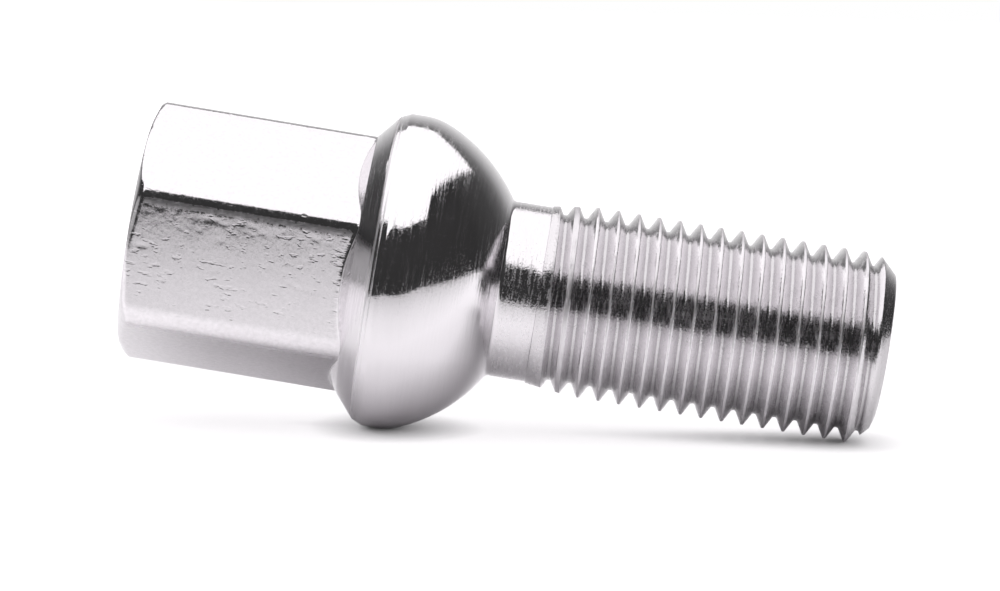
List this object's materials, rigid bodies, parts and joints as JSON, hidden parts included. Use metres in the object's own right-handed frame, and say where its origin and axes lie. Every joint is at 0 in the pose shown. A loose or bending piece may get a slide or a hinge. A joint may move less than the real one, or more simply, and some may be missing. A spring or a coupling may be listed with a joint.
{
  "type": "wheel bolt",
  "caption": "One-piece wheel bolt with a long hexagon head, a conical collar with a spherical seat, a plain neck and a right-hand metric threaded shank.",
  "frame": {"origin": "centre of the head's flat end face, on which the bolt stands", "axes": "+Z along the bolt's axis from the head to the threaded tip; +X towards one of the hexagon's rounded edges"},
  "size_m": [0.0228, 0.0228, 0.0545],
  "materials": {
    "chrome_plate": "bright chrome plate over a forged and turned surface, with pits on the flats"
  },
  "bodies": {
    "root": {"wheel_bolt": "chrome_plate"}
  },
  "joints": []
}
